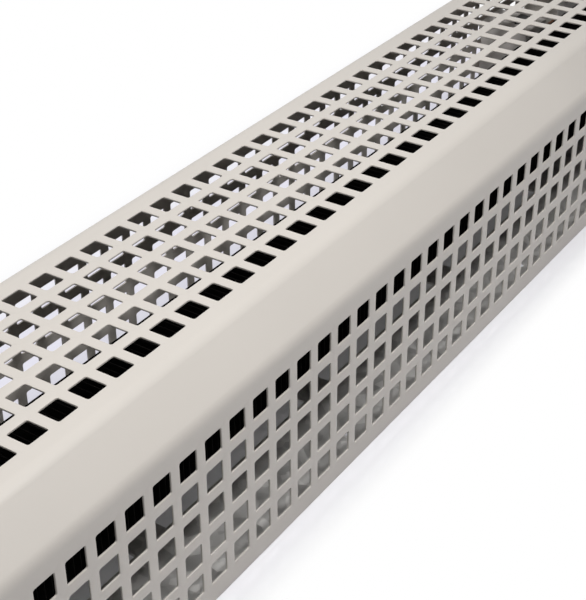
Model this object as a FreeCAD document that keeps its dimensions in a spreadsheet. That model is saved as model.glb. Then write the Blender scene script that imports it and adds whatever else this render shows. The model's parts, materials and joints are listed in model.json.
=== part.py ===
import FreeCAD, Part
import os
import re
import Sketcher
from FreeCAD import Rotation, Vector

# Plinth convector heater: a folded, perforated steel cover stands over a slotted tray, two end
# panels, a finned strip element and a terminal box. Millimetres, X along the heater, front
# towards -Y, Z up, origin on the floor under the middle of the cover.

document = FreeCAD.newDocument("plinth_convector")

# Driving dimensions
SIZES = {
    # Cover
    "cover_length": 660,
    "cover_depth": 122,
    "cover_height": 106.5,
    "cover_sheet": 1,
    "band_run": 16.5,
    "band_rise": 17.5,
    "fold_radius": 8,
    "hole_side": 10,
    "hole_pitch": 15,
    "end_margin": 15,
    "row_margin": 12,
    "lowest_row": 14.5,
    # Tray
    "tray_sheet": 1.2,
    "tray_gap": 0.6,
    "lip_height": 5,
    "slot_length": 105,
    "slot_width": 39,
    "slot_web": 20,
    "plain_length": 150,
    "slot_inset": 19,
    "fixing_hole": 6.5,
    "fixing_spacing": 176,
    "fixing_forward": 48,
    # End panels
    "panel_sheet": 1.2,
    "panel_gap": 0.3,
    "panel_flange": 12,
    "panel_flange_inset": 4,
    # Element
    "fin_width": 41,
    "fin_height": 55,
    "fin_sheet": 1,
    "fin_pitch": 25,
    "fin_margin": 30,
    "element_lift": 13,
    "strip_thick": 8,
    "strip_height": 38,
    "strip_tail": 16,
    "bracket_sheet": 1.5,
    "bracket_width": 70,
    "bracket_foot": 12,
    "bracket_arch": 9,
    "bracket_rim": 6,
    "bracket_gap": 8,
    "bush_wall": 1.2,
    "bush_length": 8,
    "tab_length": 8,
    "tab_width": 6,
    "tab_thick": 0.8,
    "tab_spacing": 18,
    # Terminal box
    "box_from_end": 91,
    "box_back_gap": 4,
    "box_length": 26,
    "box_depth": 30,
    "box_headroom": 40,
    "box_sheet": 1,
    "lid_gap": 0.3,
    "lid_skirt": 6,
    "block_length": 20,
    "block_depth": 18,
    "block_height": 16,
    "block_lift": 15.5,
    "block_inset": 2,
    "pole_count": 3,
    "pole_width": 4,
    "pole_depth": 9,
    "insert_height": 5,
    "entry_length": 10,
    "entry_depth": 14,
    "entry_inset": 2.2,
    "bush_flange": 2,
    "bush_skirt": 3,
    "cutout_length": 18,
    "cutout_depth": 14,
    "cutout_height": 20,
    "cutout_lift": 34,
    "cutout_inset": 3,
    "button_side": 8,
    "button_gap": 0.5,
    "button_proud": 4,
    "stem_side": 4,
    "stem_gap": 0.3,
    "stem_depth": 6,
    "button_travel": 1.5,
    # Wiring
    "lead_thick": 3,
    "lead_side": 10.2,
    "lead_gap": 0.5,
    "tag_length": 7,
    "tag_width": 8,
    "tag_thick": 1,
}

# Sizes that follow from the driving ones
HALF_DEPTH = "(cover_depth / 2)"
BAND_LENGTH = "sqrt(band_run ^ 2 + band_rise ^ 2)"
PANEL_OFFSET = "(cover_sheet + panel_gap)"
TRAY_LENGTH = "(cover_length - 2 * panel_sheet - 2 * panel_gap)"
TRAY_HALF = "(cover_depth / 2 - cover_sheet - tray_gap)"
SLOT_STEP = "(slot_length + slot_web)"
SLOT_COUNT = f"floor(({TRAY_LENGTH} - slot_inset - plain_length + slot_web) / {SLOT_STEP})"
COLUMNS = "floor((cover_length - 2 * end_margin) / hole_pitch)"
WALL_ROWS = "(floor((cover_height - band_rise - row_margin - lowest_row) / hole_pitch) + 1)"
TOP_ROWS = "(floor((cover_depth - 2 * band_run - 2 * row_margin) / hole_pitch) + 1)"
FIRST_COLUMN = f"(-({COLUMNS} - 1) * hole_pitch / 2)"
FIRST_TOP_ROW = f"(-({TOP_ROWS} - 1) * hole_pitch / 2)"
FIN_STEPS = "floor((cover_length - 2 * fin_margin) / fin_pitch)"
FIN_RUN = f"({FIN_STEPS} * fin_pitch)"
ELEMENT_MIDDLE = "(element_lift + fin_height / 2)"
STRIP_FOOT = "(element_lift + fin_height / 2 - strip_height / 2)"
BRACKET_PLACE = f"({FIN_RUN} / 2 + bracket_gap)"
STRIP_HALF = f"({FIN_RUN} / 2 + strip_tail)"
BOX_LEFT = "(cover_length / 2 - box_from_end)"
BOX_FRONT = "(cover_depth / 2 - cover_sheet - box_back_gap - box_depth)"
BOX_HEIGHT = "(cover_height - box_headroom)"
BOX_FLOOR = "(tray_sheet + box_sheet)"
BOX_TOP = f"(tray_sheet + {BOX_HEIGHT})"
BLOCK_LEFT = f"({BOX_LEFT} + box_sheet + block_inset)"
BLOCK_BACK = f"({BOX_FRONT} + box_depth - box_sheet)"
BLOCK_FOOT = f"({BOX_FLOOR} + block_lift)"
ENTRY_MIDDLE_X = f"({BOX_LEFT} + box_length - box_sheet - entry_inset - entry_length / 2)"
ENTRY_MIDDLE_Y = f"({BOX_FRONT} + box_depth / 2)"
CUTOUT_LEFT = f"({BOX_LEFT} + box_sheet + cutout_inset)"
CUTOUT_FRONT = f"({BOX_FRONT} + box_sheet)"
CUTOUT_FOOT = f"({BOX_FLOOR} + cutout_lift)"
BUTTON_X = f"({CUTOUT_LEFT} + cutout_length / 2)"
BUTTON_Y = f"({CUTOUT_FRONT} + cutout_depth / 2)"
LEAD_NEAR = f"({CUTOUT_FRONT} + lead_side)"
LID_SPAN = "(2 * lid_gap + 2 * box_sheet)"

sheet = document.addObject("Spreadsheet::Sheet", "Sizes")
for row, (alias, value) in enumerate(SIZES.items(), start=1):
    sheet.set(f"A{row}", alias)
    sheet.set(f"B{row}", str(value))
    sheet.setAlias(f"B{row}", alias)
document.recompute()


def formula(words):
    """Point every size named in a formula at its cell."""
    return re.sub(r"[a-z_]+", lambda word: "Sizes." + word[0] if word[0] in SIZES else word[0], str(words))


def number(words):
    """The value that a formula has now."""
    return float(sheet.evalExpression(formula(words)))


def bind(item, **settings):
    """Tie properties of an object to formulas."""
    for name, words in settings.items():
        item.setExpression(name, formula(words))


def place(item, x=0, y=0, z=0):
    """Tie an object's position to formulas."""
    for axis, words in (("x", x), ("y", y), ("z", z)):
        item.setExpression(f"Placement.Base.{axis}", formula(words))


def new_body(label):
    body = document.addObject("PartDesign::Body", label)
    body.Label = label
    return body


def origin_feature(body, role):
    return next(feature for feature in body.Origin.OriginFeatures if feature.Role == role)


def sketch_on(body, plane, offset=0):
    """An empty sketch on one of the body's own planes, raised along the plane's normal."""
    sketch = body.newObject("Sketcher::SketchObject", "Sketch")
    sketch.AttachmentSupport = [(origin_feature(body, plane), "")]
    sketch.MapMode = "FlatFace"
    sketch.setExpression("AttachmentOffset.Base.z", formula(offset))
    return sketch


def add_outline(sketch, points):
    """A closed outline whose corners are held at formulas from the sketch's origin."""
    first = sketch.GeometryCount
    corners = [Vector(number(x), number(y), 0) for x, y in points]
    for index, corner in enumerate(corners):
        sketch.addGeometry(Part.LineSegment(corner, corners[(index + 1) % len(corners)]))
    for index, (x, y) in enumerate(points):
        line = first + index
        following = first + (index + 1) % len(points)
        sketch.addConstraint(Sketcher.Constraint("Coincident", line, 2, following, 1))
        for kind, words in (("DistanceX", x), ("DistanceY", y)):
            held = sketch.addConstraint(Sketcher.Constraint(kind, -1, 1, line, 1, number(words)))
            sketch.setExpression(f"Constraints[{held}]", formula(words))


def add_rectangle(sketch, left, low, width, height):
    right = f"({left}) + ({width})"
    high = f"({low}) + ({height})"
    add_outline(sketch, [(left, low), (right, low), (right, high), (left, high)])


def add_pad(body, sketch, length, symmetric=False):
    pad = body.newObject("PartDesign::Pad", "Pad")
    pad.Profile = sketch
    pad.SideType = "Symmetric" if symmetric else "One side"
    bind(pad, Length=length)
    body.Tip = pad
    document.recompute()
    return pad


def add_pocket(body, sketch):
    """Cut a sketch right through the body, both ways."""
    before = body.Shape.Volume
    pocket = body.newObject("PartDesign::Pocket", "Pocket")
    pocket.Profile = sketch
    pocket.Type = "ThroughAll"
    pocket.SideType = "Symmetric"
    body.Tip = pocket
    document.recompute()
    if body.Shape.Volume >= before:
        raise RuntimeError(f"a cut in {body.Label} removes nothing")
    return pocket


def add_blind_pocket(body, sketch, depth):
    """Cut a sketch down from its plane to a depth."""
    before = body.Shape.Volume
    pocket = body.newObject("PartDesign::Pocket", "Pocket")
    pocket.Profile = sketch
    bind(pocket, Length=depth)
    body.Tip = pocket
    document.recompute()
    if body.Shape.Volume >= before:
        raise RuntimeError(f"a cut in {body.Label} removes nothing")
    return pocket


def repeat(body, feature, along, step, count, along_too=None, step_too=0, count_too=1):
    """Repeat a feature in a row, or in a grid where a second direction is given."""
    pattern = body.newObject("PartDesign::LinearPattern", "Pattern")
    pattern.Originals = [feature]
    pattern.Direction = (origin_feature(body, along), [""])
    pattern.Mode = "Spacing"
    bind(pattern, Offset=step, Occurrences=count)
    if along_too:
        pattern.Direction2 = (origin_feature(body, along_too), [""])
        pattern.Mode2 = "Extent"
        bind(pattern, Length2=f"({step_too}) * ({count_too} - 1)", Occurrences2=count_too)
    body.Tip = pattern
    document.recompute()
    return pattern


def add_fillet(body, base, radius, wanted):
    """Round the edges of a feature that a test picks."""
    fillet = body.newObject("PartDesign::Fillet", "Fillet")
    names = [f"Edge{i}" for i, edge in enumerate(base.Shape.Edges, start=1) if wanted(edge.BoundBox)]
    fillet.Base = (base, names)
    bind(fillet, Radius=radius)
    body.Tip = fillet
    document.recompute()
    return fillet


def add_chamfer(body, base, size, wanted):
    """Cut the edges of a feature off flat where a test picks them."""
    chamfer = body.newObject("PartDesign::Chamfer", "Chamfer")
    names = [f"Edge{i}" for i, edge in enumerate(base.Shape.Edges, start=1) if wanted(edge.BoundBox)]
    chamfer.Base = (base, names)
    bind(chamfer, Size=size)
    body.Tip = chamfer
    document.recompute()
    return chamfer


def add_shell(body, base, wall, open_face):
    """Hollow a feature to a wall, inwards, with the faces left out that a test picks."""
    shell = body.newObject("PartDesign::Thickness", "Shell")
    names = [f"Face{i}" for i, face in enumerate(base.Shape.Faces, start=1) if open_face(face.BoundBox)]
    shell.Base = (base, names)
    shell.Join = "Intersection"
    shell.Reversed = True
    bind(shell, Value=wall)
    body.Tip = shell
    document.recompute()
    return shell


def flat(extent):
    """True for an extent that is nothing but rounding."""
    return abs(extent) < 1e-4


def casing_outline(inset):
    """Cross-section of the cover's outside, drawn in by an inset on every side but the floor."""
    wall = f"({HALF_DEPTH} - {inset})"
    shoulder = f"(cover_height - band_rise + {inset} * (band_rise - {BAND_LENGTH}) / band_run)"
    brow = f"({HALF_DEPTH} - band_run - {inset} * ({BAND_LENGTH} - band_run) / band_rise)"
    top = f"(cover_height - {inset})"
    half = [(wall, 0), (wall, shoulder), (brow, top)]
    mirrored = [(f"-{y}", z) for y, z in reversed(half)]
    return half + mirrored


def fold_edges(length, floor):
    """Picks the long edges above the floor, which are the folds."""
    return lambda box: flat(box.XLength - length) and flat(box.YLength) and box.ZMin > floor


def make_cover():
    """Folded sheet: front, band, top, band and back, with a grid of square holes in three sides."""
    body = new_body("cover")
    profile = sketch_on(body, "YZ_Plane")
    add_outline(profile, casing_outline("0"))
    block = add_pad(body, profile, "cover_length", symmetric=True)
    folds = fold_edges(number("cover_length"), number("cover_height - band_rise") / 2)
    rounded = add_fillet(body, block, "fold_radius", folds)
    add_shell(body, rounded, "cover_sheet", lambda box: flat(box.XLength) or flat(box.ZMax))
    left = f"{FIRST_COLUMN} - hole_side / 2"
    wall_hole = sketch_on(body, "XZ_Plane")
    add_rectangle(wall_hole, left, "lowest_row - hole_side / 2", "hole_side", "hole_side")
    wall_cut = add_pocket(body, wall_hole)
    repeat(body, wall_cut, "X_Axis", "hole_pitch", COLUMNS, "Z_Axis", "hole_pitch", WALL_ROWS)
    top_hole = sketch_on(body, "XY_Plane")
    add_rectangle(top_hole, left, f"{FIRST_TOP_ROW} - hole_side / 2", "hole_side", "hole_side")
    top_cut = add_pocket(body, top_hole)
    repeat(body, top_cut, "X_Axis", "hole_pitch", COLUMNS, "Y_Axis", "hole_pitch", TOP_ROWS)
    return body


def make_tray():
    """Floor sheet with upturned lips, air slots under the element, fixing holes and a cable entry."""
    body = new_body("base_tray")
    profile = sketch_on(body, "YZ_Plane")
    inner = f"({TRAY_HALF} - tray_sheet)"
    half = [(TRAY_HALF, 0), (TRAY_HALF, "lip_height"), (inner, "lip_height"), (inner, "tray_sheet")]
    add_outline(profile, half + [(f"-{y}", z) for y, z in reversed(half)])
    add_pad(body, profile, TRAY_LENGTH, symmetric=True)
    slot = sketch_on(body, "XY_Plane")
    add_rectangle(slot, f"-{TRAY_LENGTH} / 2 + slot_inset", "-slot_width / 2", "slot_length", "slot_width")
    slot_cut = add_pocket(body, slot)
    repeat(body, slot_cut, "X_Axis", SLOT_STEP, SLOT_COUNT)
    fixing = sketch_on(body, "XY_Plane")
    circle = fixing.addGeometry(Part.Circle(Vector(0, 0, 0), Vector(0, 0, 1), number("fixing_hole / 2")))
    centre = {"DistanceX": "-fixing_spacing / 2", "DistanceY": "-fixing_forward"}
    for kind, words in centre.items():
        held = fixing.addConstraint(Sketcher.Constraint(kind, -1, 1, circle, 3, number(words)))
        fixing.setExpression(f"Constraints[{held}]", formula(words))
    held = fixing.addConstraint(Sketcher.Constraint("Diameter", circle, number("fixing_hole")))
    fixing.setExpression(f"Constraints[{held}]", formula("fixing_hole"))
    fixing_cut = add_pocket(body, fixing)
    repeat(body, fixing_cut, "X_Axis", "fixing_spacing", "2")
    entry = sketch_on(body, "XY_Plane")
    add_rectangle(entry, f"{ENTRY_MIDDLE_X} - entry_length / 2", f"{ENTRY_MIDDLE_Y} - entry_depth / 2",
                  "entry_length", "entry_depth")
    add_pocket(body, entry)
    return body


def make_end_panel(label, side):
    """Plain end with a top flange that carries the cover and a bottom flange on the tray."""
    body = new_body(label)
    outline = sketch_on(body, "YZ_Plane")
    add_outline(outline, casing_outline(PANEL_OFFSET))
    plate = add_pad(body, outline, "panel_sheet")
    folds = fold_edges(number("panel_sheet"), number("cover_height - band_rise") / 2)
    add_chamfer(body, plate, "fold_radius / 2", folds)
    brow = f"({HALF_DEPTH} - band_run - fold_radius)"
    top = sketch_on(body, "XY_Plane", f"cover_height - {PANEL_OFFSET} - panel_sheet")
    add_rectangle(top, 0, f"-{brow}", "panel_sheet + panel_flange", f"2 * {brow}")
    add_pad(body, top, "panel_sheet")
    foot = f"({TRAY_HALF} - tray_sheet - panel_flange_inset)"
    bottom = sketch_on(body, "XY_Plane", "tray_sheet")
    add_rectangle(bottom, 0, f"-{foot}", "panel_sheet + panel_flange", f"2 * {foot}")
    add_pad(body, bottom, "panel_sheet")
    body.Placement.Rotation = Rotation(Vector(0, 0, 1), 0 if side < 0 else 180)
    place(body, f"{side} * cover_length / 2")
    return body


def make_fins():
    """Plate fins in a row, each with a window for the strip."""
    body = new_body("element_fins")
    body.AllowCompound = True
    fin = sketch_on(body, "YZ_Plane", f"-{FIN_RUN} / 2 - fin_sheet / 2")
    add_rectangle(fin, "-fin_width / 2", "element_lift", "fin_width", "fin_height")
    add_rectangle(fin, "-strip_thick / 2", STRIP_FOOT, "strip_thick", "strip_height")
    plate = add_pad(body, fin, "fin_sheet")
    repeat(body, plate, "X_Axis", "fin_pitch", f"{FIN_STEPS} + 1")
    return body


def make_strip():
    """Flat sheathed heating strip, on edge."""
    strip = document.addObject("Part::Box", "element_strip")
    strip.Label = "element_strip"
    bind(strip, Length=f"2 * {STRIP_HALF}", Width="strip_thick", Height="strip_height")
    place(strip, f"-{STRIP_HALF}", "-strip_thick / 2", STRIP_FOOT)
    return strip


def make_bracket(label, side):
    """Bent upright with a window for the strip's bush and an arch over the slots."""
    body = new_body(label)
    window_width = "(strip_thick + 2 * bush_wall)"
    window_height = "(strip_height + 2 * bush_wall)"
    head = f"({STRIP_FOOT} + strip_height + bush_wall + bracket_rim)"
    profile = sketch_on(body, "XZ_Plane")
    add_outline(profile, [
        (0, "tray_sheet"), ("bracket_sheet + bracket_foot", "tray_sheet"),
        ("bracket_sheet + bracket_foot", "tray_sheet + bracket_sheet"),
        ("bracket_sheet", "tray_sheet + bracket_sheet"), ("bracket_sheet", head), (0, head)])
    add_pad(body, profile, "bracket_width", symmetric=True)
    cut = sketch_on(body, "YZ_Plane")
    add_rectangle(cut, f"-{window_width} / 2", f"{STRIP_FOOT} - bush_wall", window_width, window_height)
    add_rectangle(cut, "-slot_width / 2", 0, "slot_width", "tray_sheet + bracket_arch")
    add_pocket(body, cut)
    body.Placement.Rotation = Rotation(Vector(0, 0, 1), 0 if side < 0 else 180)
    place(body, f"{side} * ({BRACKET_PLACE} + bracket_sheet)")
    return body


def make_bushes():
    """Insulating frames round the strip, one in each bracket."""
    body = new_body("element_bushes")
    body.AllowCompound = True
    start = f"-({BRACKET_PLACE} + bracket_sheet / 2 + bush_length / 2)"
    ring = sketch_on(body, "YZ_Plane", start)
    add_rectangle(ring, "-strip_thick / 2 - bush_wall", f"{STRIP_FOOT} - bush_wall",
                  "strip_thick + 2 * bush_wall", "strip_height + 2 * bush_wall")
    add_rectangle(ring, "-strip_thick / 2", STRIP_FOOT, "strip_thick", "strip_height")
    frame = add_pad(body, ring, "bush_length")
    repeat(body, frame, "X_Axis", f"2 * {BRACKET_PLACE} + bracket_sheet", "2")
    return body


def make_tabs():
    """Two connection tabs on the strip's right-hand end."""
    body = new_body("element_terminals")
    body.AllowCompound = True
    face = sketch_on(body, "YZ_Plane", STRIP_HALF)
    add_rectangle(face, "-tab_thick / 2", f"{ELEMENT_MIDDLE} - tab_spacing / 2 - tab_width / 2",
                  "tab_thick", "tab_width")
    tab = add_pad(body, face, "tab_length")
    repeat(body, tab, "Z_Axis", "tab_spacing", "2")
    return body


def make_terminal_box():
    """Folded box, open above, with a cable entry in its floor and slots for the leads in its end."""
    body = new_body("terminal_box")
    plan = sketch_on(body, "XY_Plane", "tray_sheet")
    add_rectangle(plan, BOX_LEFT, BOX_FRONT, "box_length", "box_depth")
    block = add_pad(body, plan, BOX_HEIGHT)
    top = number(BOX_TOP)
    add_shell(body, block, "box_sheet", lambda box: flat(box.ZMin - top))
    entry = sketch_on(body, "XY_Plane")
    add_rectangle(entry, f"{ENTRY_MIDDLE_X} - entry_length / 2", f"{ENTRY_MIDDLE_Y} - entry_depth / 2",
                  "entry_length", "entry_depth")
    add_pocket(body, entry)
    way = sketch_on(body, "YZ_Plane", f"{BOX_LEFT} + box_length + box_sheet")
    for level in ("-", "+"):
        middle = f"{ELEMENT_MIDDLE} {level} tab_spacing / 2"
        add_rectangle(way, f"{LEAD_NEAR} - lead_gap", f"{middle} - lead_thick / 2 - lead_gap",
                      "lead_thick + 2 * lead_gap", "lead_thick + 2 * lead_gap")
    add_blind_pocket(body, way, "3 * box_sheet")
    return body


def make_terminal_lid():
    """Lift-off lid whose skirt fits over the box, with a window for the reset button."""
    body = new_body("terminal_lid")
    plan = sketch_on(body, "XY_Plane", f"{BOX_TOP} + lid_gap + box_sheet - lid_skirt")
    add_rectangle(plan, f"{BOX_LEFT} - lid_gap - box_sheet", f"{BOX_FRONT} - lid_gap - box_sheet",
                  f"box_length + {LID_SPAN}", f"box_depth + {LID_SPAN}")
    block = add_pad(body, plan, "lid_skirt")
    foot = number(f"{BOX_TOP} + lid_gap + box_sheet - lid_skirt")
    add_shell(body, block, "box_sheet", lambda box: flat(box.ZMax - foot))
    window = sketch_on(body, "XY_Plane")
    side = "(button_side + 2 * button_gap)"
    add_rectangle(window, f"{BUTTON_X} - {side} / 2", f"{BUTTON_Y} - {side} / 2", side, side)
    add_pocket(body, window)
    return body


def make_terminal_block():
    """Connector block on the box's back wall, with an open channel for each pole."""
    body = new_body("terminal_block")
    plan = sketch_on(body, "XY_Plane", BLOCK_FOOT)
    add_rectangle(plan, BLOCK_LEFT, f"{BLOCK_BACK} - block_depth", "block_length", "block_depth")
    add_pad(body, plan, "block_height")
    channel = sketch_on(body, "XY_Plane", f"{BLOCK_FOOT} + block_height")
    step = "(block_length / pole_count)"
    add_rectangle(channel, f"{BLOCK_LEFT} + {step} / 2 - pole_width / 2", f"{BLOCK_BACK} - block_depth / 2",
                  "pole_width", "block_depth / 4")
    cut = add_blind_pocket(body, channel, "pole_depth")
    repeat(body, cut, "X_Axis", step, "pole_count")
    return body


def make_inserts():
    """Brass clamp in the floor of each channel."""
    body = new_body("terminal_inserts")
    body.AllowCompound = True
    plan = sketch_on(body, "XY_Plane", f"{BLOCK_FOOT} + block_height - pole_depth")
    step = "(block_length / pole_count)"
    add_rectangle(plan, f"{BLOCK_LEFT} + {step} / 2 - pole_width / 2", f"{BLOCK_BACK} - block_depth / 2",
                  "pole_width", "block_depth / 4")
    insert = add_pad(body, plan, "insert_height")
    repeat(body, insert, "X_Axis", step, "pole_count")
    return body


def make_cable_bush():
    """Snap-in bush through the box's floor and the tray, with a flange on the floor."""
    body = new_body("cable_bush")
    collar = sketch_on(body, "XY_Plane", BOX_FLOOR)
    left = f"{ENTRY_MIDDLE_X} - entry_length / 2"
    front = f"{ENTRY_MIDDLE_Y} - entry_depth / 2"
    add_rectangle(collar, f"{left} - bush_flange", f"{front} - bush_flange",
                  "entry_length + 2 * bush_flange", "entry_depth + 2 * bush_flange")
    add_pad(body, collar, "bush_skirt")
    neck = sketch_on(body, "XY_Plane", "tray_sheet / 2")
    add_rectangle(neck, left, front, "entry_length", "entry_depth")
    add_pad(body, neck, "box_sheet + tray_sheet / 2")
    bore = sketch_on(body, "XY_Plane")
    add_rectangle(bore, f"{left} + bush_flange", f"{front} + bush_flange",
                  "entry_length - 2 * bush_flange", "entry_depth - 2 * bush_flange")
    add_pocket(body, bore)
    return body


def make_cutout():
    """Over-temperature cut-out on the box's front wall, with a well for the button's stem."""
    body = new_body("thermal_cutout")
    plan = sketch_on(body, "XY_Plane", CUTOUT_FOOT)
    add_rectangle(plan, CUTOUT_LEFT, CUTOUT_FRONT, "cutout_length", "cutout_depth")
    add_pad(body, plan, "cutout_height")
    well = sketch_on(body, "XY_Plane", f"{CUTOUT_FOOT} + cutout_height")
    side = "(stem_side + 2 * stem_gap)"
    add_rectangle(well, f"{BUTTON_X} - {side} / 2", f"{BUTTON_Y} - {side} / 2", side, side)
    add_blind_pocket(body, well, "stem_depth + button_travel + stem_gap")
    return body


def make_button():
    """Reset button: a stem in the cut-out's well under a square cap that stands above the lid."""
    body = new_body("reset_button")
    stem = sketch_on(body, "XY_Plane", f"{CUTOUT_FOOT} + cutout_height - stem_depth")
    add_rectangle(stem, f"{BUTTON_X} - stem_side / 2", f"{BUTTON_Y} - stem_side / 2", "stem_side", "stem_side")
    top = f"({BOX_TOP} + lid_gap + box_sheet + button_proud)"
    foot = f"({CUTOUT_FOOT} + cutout_height - stem_depth)"
    add_pad(body, stem, f"{top} - {foot}")
    cap = sketch_on(body, "XY_Plane", f"{top} - 2 * button_proud")
    add_rectangle(cap, f"{BUTTON_X} - button_side / 2", f"{BUTTON_Y} - button_side / 2",
                  "button_side", "button_side")
    add_pad(body, cap, "2 * button_proud")
    return body


def make_long_lead(label, start, level):
    """Lead along the back of the element and round to one of its tabs."""
    body = new_body(label)
    near = LEAD_NEAR
    far = f"({LEAD_NEAR} + lead_thick)"
    turn = f"({STRIP_HALF} + tab_length / 2 - lead_thick / 2)"
    end = f"({STRIP_HALF} + tab_length / 2 + lead_thick / 2)"
    plan = sketch_on(body, "XY_Plane", f"{ELEMENT_MIDDLE} {level} tab_spacing / 2 - lead_thick / 2")
    add_outline(plan, [(start, near), (turn, near), (turn, "tab_thick / 2"), (end, "tab_thick / 2"),
                       (end, far), (start, far)])
    add_pad(body, plan, "lead_thick")
    return body


def make_short_lead(label, x, y, low, high):
    """Upright lead between two pieces inside the terminal box."""
    lead = document.addObject("Part::Box", label)
    lead.Label = label
    bind(lead, Length="lead_thick", Width="lead_thick", Height=f"{high} - {low}")
    place(lead, x, y, low)
    return lead


def make_earth_tag():
    """Earth tag on the floor of the terminal box."""
    tag = document.addObject("Part::Box", "earth_tag")
    tag.Label = "earth_tag"
    bind(tag, Length="tag_length", Width="tag_width", Height="tag_thick")
    place(tag, BLOCK_LEFT, f"{BLOCK_BACK} - block_depth", BOX_FLOOR)
    return tag


link_x = f"({CUTOUT_LEFT} + cutout_length / 4)"
parts = [
    make_cover(),
    make_tray(),
    make_end_panel("end_panel_left", -1),
    make_end_panel("end_panel_right", 1),
    make_fins(),
    make_strip(),
    make_bracket("element_bracket_left", -1),
    make_bracket("element_bracket_right", 1),
    make_bushes(),
    make_tabs(),
    make_terminal_box(),
    make_terminal_lid(),
    make_terminal_block(),
    make_inserts(),
    make_cable_bush(),
    make_cutout(),
    make_button(),
    make_long_lead("live_lead", f"({CUTOUT_LEFT} + cutout_length)", "+"),
    make_long_lead("neutral_lead", f"({BLOCK_LEFT} + block_length)", "-"),
    make_short_lead("link_lead", link_x, f"({BLOCK_BACK} - block_depth)",
                    f"({BLOCK_FOOT} + block_height)", CUTOUT_FOOT),
    make_short_lead("earth_lead", f"({BLOCK_LEFT} + lead_thick)", f"({BLOCK_BACK} - block_depth + lead_thick)",
                    f"({BOX_FLOOR} + tag_thick)", BLOCK_FOOT),
    make_earth_tag(),
]
document.recompute()

for item in document.Objects:
    if "Invalid" in item.State or "Error" in item.State:
        raise RuntimeError(f"{item.Label} failed: {item.State}")
for part in parts:
    if part.Shape.isNull() or not part.Shape.isValid():
        raise RuntimeError(f"{part.Label} has no valid shape")

os.makedirs("parts", exist_ok=True)
for part in parts:
    part.Shape.exportStep(f"parts/{part.Label}.step")
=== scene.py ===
import json
import math

import bmesh
import bpy
from bpy.props import FloatProperty, FloatVectorProperty, IntProperty, PointerProperty
from mathutils import Matrix, Vector


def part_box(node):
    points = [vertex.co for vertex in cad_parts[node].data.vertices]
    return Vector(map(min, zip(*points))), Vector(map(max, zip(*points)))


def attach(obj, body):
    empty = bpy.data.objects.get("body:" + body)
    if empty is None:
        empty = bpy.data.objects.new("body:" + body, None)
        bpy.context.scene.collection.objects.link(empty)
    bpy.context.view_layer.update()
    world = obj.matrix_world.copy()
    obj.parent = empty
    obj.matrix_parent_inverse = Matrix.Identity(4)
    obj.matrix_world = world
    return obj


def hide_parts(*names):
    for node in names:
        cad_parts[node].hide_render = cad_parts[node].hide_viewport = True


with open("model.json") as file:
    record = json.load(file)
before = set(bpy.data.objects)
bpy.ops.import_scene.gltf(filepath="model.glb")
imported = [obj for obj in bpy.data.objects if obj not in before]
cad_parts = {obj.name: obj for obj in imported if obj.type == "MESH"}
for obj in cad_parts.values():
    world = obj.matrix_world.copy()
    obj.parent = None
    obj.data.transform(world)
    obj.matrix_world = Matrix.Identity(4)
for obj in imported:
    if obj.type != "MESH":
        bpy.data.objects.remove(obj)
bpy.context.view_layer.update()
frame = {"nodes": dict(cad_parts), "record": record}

bl_info = {
    "name": "Plinth convector heater",
    "version": (1, 0, 0),
    "blender": (4, 5, 0),
    "location": "View3D > Sidebar > Heater",
    "description": "Dresses a plinth convector: perforated cover, tray, finned element and terminal box",
    "category": "Object",
}

SLOTS = {entry["node"]: entry["material_slot"] for entry in frame["record"]["subparts"]}
BODIES = {node: body for body, nodes in frame["record"]["behaviour"]["bodies"].items() for node in nodes}
COVER_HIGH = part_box("cover")[1]
MM = 0.001
TOUCH = 0.001 * MM  # points that are nearer than this count as one
SIDES = (-1, 1)


# Settings

class CoverSettings(bpy.types.PropertyGroup):
    """Sizes of the folded, perforated cover."""

    sheet: FloatProperty(
        name="Sheet", description="Thickness of the sheet", default=1 * MM, unit="LENGTH")
    band_run: FloatProperty(
        name="Band run", description="Depth of each slanted band", default=16.5 * MM, unit="LENGTH")
    band_rise: FloatProperty(
        name="Band rise", description="Height of each slanted band", default=17.5 * MM, unit="LENGTH")
    fold_radius: FloatProperty(
        name="Fold radius", description="Outer radius of the folds", default=8 * MM, unit="LENGTH")
    fold_steps: IntProperty(
        name="Fold steps", description="Faces round each fold", default=8, min=2)
    pitch: FloatProperty(
        name="Pitch", description="Distance from hole to hole", default=15 * MM, unit="LENGTH")
    hole: FloatProperty(
        name="Hole", description="Side of a square hole", default=10 * MM, unit="LENGTH")
    hole_corner: FloatProperty(
        name="Hole corner", description="Radius in a hole's corners", default=0.7 * MM, unit="LENGTH")
    corner_steps: IntProperty(
        name="Corner steps", description="Faces round each corner of a hole", default=2, min=1)
    columns: IntProperty(
        name="Columns", description="Holes along the cover", default=42, min=1)
    rows: IntProperty(
        name="Rows", description="Holes across the front, the top and the back", default=5, min=1)
    lowest_row: FloatProperty(
        name="Lowest row", description="Height of the lowest row of holes", default=14.5 * MM,
        unit="LENGTH")
    edge: FloatProperty(
        name="Edge", description="Rounding that the paint gives to cut edges", default=0.22 * MM,
        unit="LENGTH")


class EndSettings(bpy.types.PropertyGroup):
    """Sizes of the two plain ends."""

    sheet: FloatProperty(
        name="Sheet", description="Thickness of an end", default=1.2 * MM, unit="LENGTH")
    clearance: FloatProperty(
        name="Clearance", description="Gap between an end and the cover", default=0.3 * MM, unit="LENGTH")
    tray_sheet: FloatProperty(
        name="Tray sheet", description="Thickness of the tray that the foot flange lies on",
        default=1.2 * MM, unit="LENGTH")
    foot_half: FloatProperty(
        name="Foot half", description="Half the depth of the foot flange", default=54.2 * MM,
        unit="LENGTH")
    shoulder_steps: IntProperty(
        name="Shoulder steps", description="Faces round each shoulder", default=6, min=1)
    edge: FloatProperty(
        name="Edge", description="Rounding of the edges", default=0.3 * MM, unit="LENGTH")


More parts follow.
